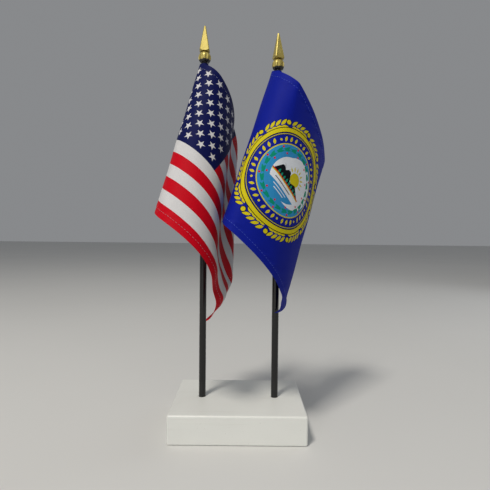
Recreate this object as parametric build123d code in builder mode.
from build123d import *
import os
from math import atan, atan2, ceil, cos, degrees, hypot, radians, sin

# Desk flag stand, in millimetres. The origin is the middle of the block's underside,
# +X runs to the right, +Y to the back and +Z up.

# Driving dimensions
BASE_WIDTH, BASE_DEPTH, BASE_HEIGHT = 88.9, 63.5, 19.05
BASE_EDGE_RADIUS = 1.2
STAFF_DIAMETER = 4.76
STAFF_SPACING = 50.8
STAFF_WITH_FINIAL = 266.7
RUNNING_CLEARANCE = 0.05
BORE_RADIUS = STAFF_DIAMETER / 2 + RUNNING_CLEARANCE
HOLE_DEPTHS = {"left": 9.5, "right": 14.0}
HOLE_MOUTH_CHAMFER = 0.3
STAFF_END_CHAMFER = 0.4

# Finial: a four-sided spear on a fluted ball
BALL_DIAMETER = 8.6
BALL_FLUTES = 8
FLUTE_RADIUS = 1.1
FLUTE_DEPTH = 0.8
FLUTE_LENGTH = 6.0
SPEAR_HEIGHT = 17.6
SPEAR_SINK = 0.2
SPEAR_WIDTH = 6.9
SPEAR_TIP_WIDTH = 1.3
SPEAR_EDGE_BEVEL = 0.45
SPEAR_HEEL_RISE = 3.0
SOCKET_DEPTH = 5.0
FINIAL_TURNS = {"left": 0.0, "right": 21.0}

# Flags: the cloth is measured along the fly from its seam at the back of the sleeve
FLY, HOIST = 152.4, 101.6
CLOTH_THICKNESS = 0.4
SLEEVE_WALL = 0.4
SEAM_GAP = 0.07
BALL_GAP = 0.15
FLY_CORNER_TRIM = 0.6
HEM_WIDTH = 4.5
THREAD_WIDTH, THREAD_THICKNESS, THREAD_GAP = 0.5, 0.25, 0.06
STRIPS_PER_FOLD = 6
ROW_GAP = 0.03

# How each flag hangs. A fold line crosses the top edge at its first figure and the level of the
# bottom edge at its second, both along the fly; the third is how far the cloth turns, in degrees
# towards the viewer's right, between that line and the next.
HEADINGS = {"left": 181.0, "right": 172.0}
FOLDS = {
    "left": (
        (0, 0, 84), (4.6, 40, 38), (7.2, 62, 44), (19, 73, 54), (30, 102, 52),
        (64, 125, -38), (66, 180, 40), (85, 205, 85), (88, 264, 0), (152.4, 328.4, 0),
    ),
    "right": (
        (0, 0, 61), (3.5, 33, 58), (9, 63, 67), (36, 73, 35), (38, 101, 35),
        (97, 136, 85), (113, 190, 60), (135, 221, -20), (148, 247, 0), (152.4, 251.4, 0),
    ),
}

SIDES = {"left": -1, "right": 1}


def staff_x(side):
    return SIDES[side] * STAFF_SPACING / 2


def staff_foot(side):
    return BASE_HEIGHT - HOLE_DEPTHS[side]


def ball_bottom(side):
    return staff_foot(side) + STAFF_WITH_FINIAL - BALL_DIAMETER - SPEAR_HEIGHT + SPEAR_SINK


def flag_top(side):
    return ball_bottom(side) - BALL_GAP


def line_at(side, row):
    """Where the fold line at a row crosses the top edge and the level of the bottom edge, and
    how far the cloth has turned by then. Rows count the folds, with fractions between them."""
    fold = min(int(row), len(FOLDS[side]) - 2)
    (top, bottom, turn), (next_top, next_bottom, _) = FOLDS[side][fold : fold + 2]
    share = row - fold
    turned = sum(turn_before for _, _, turn_before in FOLDS[side][:fold]) + turn * share
    return top + (next_top - top) * share, bottom + (next_bottom - bottom) * share, turned


def row_through(side, along, down):
    """The row whose fold line passes through a point of the flat cloth."""
    reaches = [top + (bottom - top) * down / HOIST for top, bottom, _ in FOLDS[side]]
    fold = max(i for i in range(len(reaches) - 1) if reaches[i] <= along)
    return fold + (along - reaches[fold]) / (reaches[fold + 1] - reaches[fold])


def strip_turned(side, strip):
    return line_at(side, (strip + 0.5) / STRIPS_PER_FOLD)[2]


def hinge(side, row, turn):
    """A turn about the fold line at a row, in the flat cloth's own frame."""
    top, bottom, _ = line_at(side, row)
    lean = atan2(bottom - top, HOIST)
    return Location((top, 0, 0), (-sin(lean), cos(lean), 0), turn) * Pos(-top, 0, 0)


def strip_places(side):
    """The placement in space of each flat strip of the hanging cloth, from the seam on."""
    seam = BORE_RADIUS + SLEEVE_WALL + SEAM_GAP + CLOTH_THICKNESS / 2
    place = Pos(staff_x(side), seam, flag_top(side)) * Rot(Z=HEADINGS[side]) * Rot(X=90)
    places, turned = [], 0
    for strip in range((len(FOLDS[side]) - 1) * STRIPS_PER_FOLD):
        turn = strip_turned(side, strip) - turned
        place = place * hinge(side, strip / STRIPS_PER_FOLD, turn)
        places.append(place)
        turned += turn
    return places


def hung_section(side, places, row, span, drop, thickness, lift):
    """The plane and size of a sheet's section along one fold line, mitred between two strips.
    The sheet lies on the hanging cloth and fills a rectangle of it, span along and drop down."""
    top, bottom, _ = line_at(side, row)
    slope = (bottom - top) / HOIST
    high, low = drop
    if slope > 0:
        high, low = max(high, (span[0] - top) / slope), min(low, (span[1] - top) / slope)
    middle = (high + low) / 2
    strip = row * STRIPS_PER_FOLD
    before, after = max(ceil(strip) - 1, 0), min(int(strip), len(places) - 1)
    fold = strip_turned(side, after) - strip_turned(side, before)
    mitre = 1 / cos(radians(fold / 2))
    centre = Pos(top + slope * middle, -middle, lift * mitre)
    across = Rot(Z=degrees(atan(slope))) * Rot(Y=90)
    plane = Plane(places[before] * hinge(side, row, fold / 2) * centre * across)
    return plane, thickness * mitre, (low - high) * hypot(1, slope)


def hung_sections(side, span, drop, first, last, thickness, lift=0.0):
    """The sections of a sheet on the hanging cloth, between the fold lines through two points."""
    start, end = row_through(side, *first), row_through(side, *last)
    creases = [k / STRIPS_PER_FOLD for k in range(1, len(FOLDS[side]) * STRIPS_PER_FOLD)]
    corner = row_through(side, span[1], drop[1])
    inner = [row for row in creases + [corner] if start + ROW_GAP < row < end - ROW_GAP]
    places = strip_places(side)
    return [
        hung_section(side, places, row, span, drop, thickness, lift)
        for row in [start, *sorted(inner), end]
    ]


def finish(builder, name):
    builder.part.label = name
    export_step(builder.part, f"parts/{name}.step")


os.makedirs("parts", exist_ok=True)

# Base block: a painted wooden block with a blind hole for each staff
with BuildPart() as base_block:
    Box(BASE_WIDTH, BASE_DEPTH, BASE_HEIGHT, align=(Align.CENTER, Align.CENTER, Align.MIN))
    fillet(base_block.edges(), BASE_EDGE_RADIUS)
    for side in SIDES:
        with BuildSketch(Plane.XY.offset(staff_foot(side))):
            with Locations((staff_x(side), 0)):
                Circle(BORE_RADIUS)
        extrude(amount=HOLE_DEPTHS[side], mode=Mode.SUBTRACT)
    mouths = base_block.edges().filter_by(GeomType.CIRCLE).filter_by_position(
        Axis.Z, BASE_HEIGHT - HOLE_MOUTH_CHAMFER / 2, BASE_HEIGHT + HOLE_MOUTH_CHAMFER / 2
    )
    chamfer(mouths, HOLE_MOUTH_CHAMFER)
finish(base_block, "base_block")

for side in SIDES:
    x = staff_x(side)
    ball_centre = ball_bottom(side) + BALL_DIAMETER / 2
    spear_foot = ball_bottom(side) + BALL_DIAMETER - SPEAR_SINK
    socket_top = ball_bottom(side) + SOCKET_DEPTH
    turned = Plane((x, 0, 0)).rotated((0, 0, FINIAL_TURNS[side]))

    # Staff: a plain round rod, its upper end inside the finial's socket
    with BuildPart() as staff:
        with BuildSketch(Plane.XY.offset(staff_foot(side))):
            with Locations((x, 0)):
                Circle(STAFF_DIAMETER / 2)
        extrude(amount=socket_top - staff_foot(side))
        chamfer(staff.edges().group_by(Axis.Z)[0], STAFF_END_CHAMFER)
    finish(staff, f"{side}_staff")

    # Finial: the spear's heel is cut back at its corners, so each side ends in a shallow V
    with BuildPart() as finial:
        with BuildSketch(turned.offset(spear_foot)):
            Rectangle(SPEAR_WIDTH, SPEAR_WIDTH)
        with BuildSketch(turned.offset(spear_foot + SPEAR_HEIGHT)):
            Rectangle(SPEAR_TIP_WIDTH, SPEAR_TIP_WIDTH)
        loft()
        long_edges = finial.edges().filter_by(Axis.Z, reverse=True)
        sloped = [e for e in long_edges if abs((e @ 1 - e @ 0).Z) > SPEAR_HEIGHT / 2]
        chamfer(sloped, SPEAR_EDGE_BEVEL)
        with BuildSketch(turned.rotated((0, 0, 45)).offset(spear_foot)):
            Rectangle(SPEAR_WIDTH, SPEAR_WIDTH)
        with BuildSketch(turned.rotated((0, 0, 45)).offset(spear_foot + SPEAR_HEIGHT)):
            corner_reach = SPEAR_WIDTH * SPEAR_HEIGHT / SPEAR_HEEL_RISE
            Rectangle(corner_reach, corner_reach)
        loft(mode=Mode.INTERSECT)
        with Locations((x, 0, ball_centre)):
            Sphere(BALL_DIAMETER / 2)
            first_flute = FINIAL_TURNS[side] + 180 / BALL_FLUTES
            flute_axis = BALL_DIAMETER / 2 + FLUTE_RADIUS - FLUTE_DEPTH
            with PolarLocations(flute_axis, BALL_FLUTES, start_angle=first_flute):
                Cylinder(FLUTE_RADIUS, FLUTE_LENGTH, mode=Mode.SUBTRACT)
        with BuildSketch(Plane.XY.offset(ball_bottom(side))):
            with Locations((x, 0)):
                Circle(STAFF_DIAMETER / 2)
        extrude(amount=SOCKET_DEPTH, mode=Mode.SUBTRACT)
    finish(finial, f"{side}_finial")

    # Sleeve: the hoist end of the cloth, sewn into a tube round the staff
    with BuildPart() as sleeve:
        with BuildSketch(Plane.XY.offset(flag_top(side) - HOIST)):
            with Locations((x, 0)):
                Circle(BORE_RADIUS + SLEEVE_WALL)
                Circle(BORE_RADIUS, mode=Mode.SUBTRACT)
        extrude(amount=HOIST)
    finish(sleeve, f"{side}_flag_sleeve")

    # Cloth: one sheet from the sleeve's seam to the fly, bent only along its fold lines
    with BuildPart() as cloth:
        fly_corner = (FLY - FLY_CORNER_TRIM, 0)
        sections = hung_sections(side, (0, FLY), (0, HOIST), (0, 0), fly_corner, CLOTH_THICKNESS)
        for plane, thickness, length in sections:
            with BuildSketch(plane):
                Rectangle(thickness, length)
        loft(ruled=True)
    finish(cloth, f"{side}_flag_cloth")

    # Hem thread: one line of sewing along the top, bottom and fly hems
    over = (CLOTH_THICKNESS + THREAD_THICKNESS) / 2 + THREAD_GAP
    near, far = HEM_WIDTH, HEM_WIDTH + THREAD_WIDTH
    top_hem, bottom_hem, fly_hem = (near, far), (HOIST - far, HOIST - near), (FLY - far, FLY - near)
    lines = (
        ((0, FLY - far), top_hem, (0, near), (FLY - far, far)),
        ((0, FLY - far), bottom_hem, (0, HOIST - far), (FLY - far, HOIST - near)),
        (fly_hem, (far, HOIST - far), (FLY - near, HOIST - far), (FLY - far, far)),
    )
    with BuildPart() as hem_thread:
        for line in lines:
            for plane, thickness, length in hung_sections(side, *line, THREAD_THICKNESS, over):
                with BuildSketch(plane):
                    Rectangle(thickness, length)
            loft(ruled=True)
    finish(hem_thread, f"{side}_hem_thread")
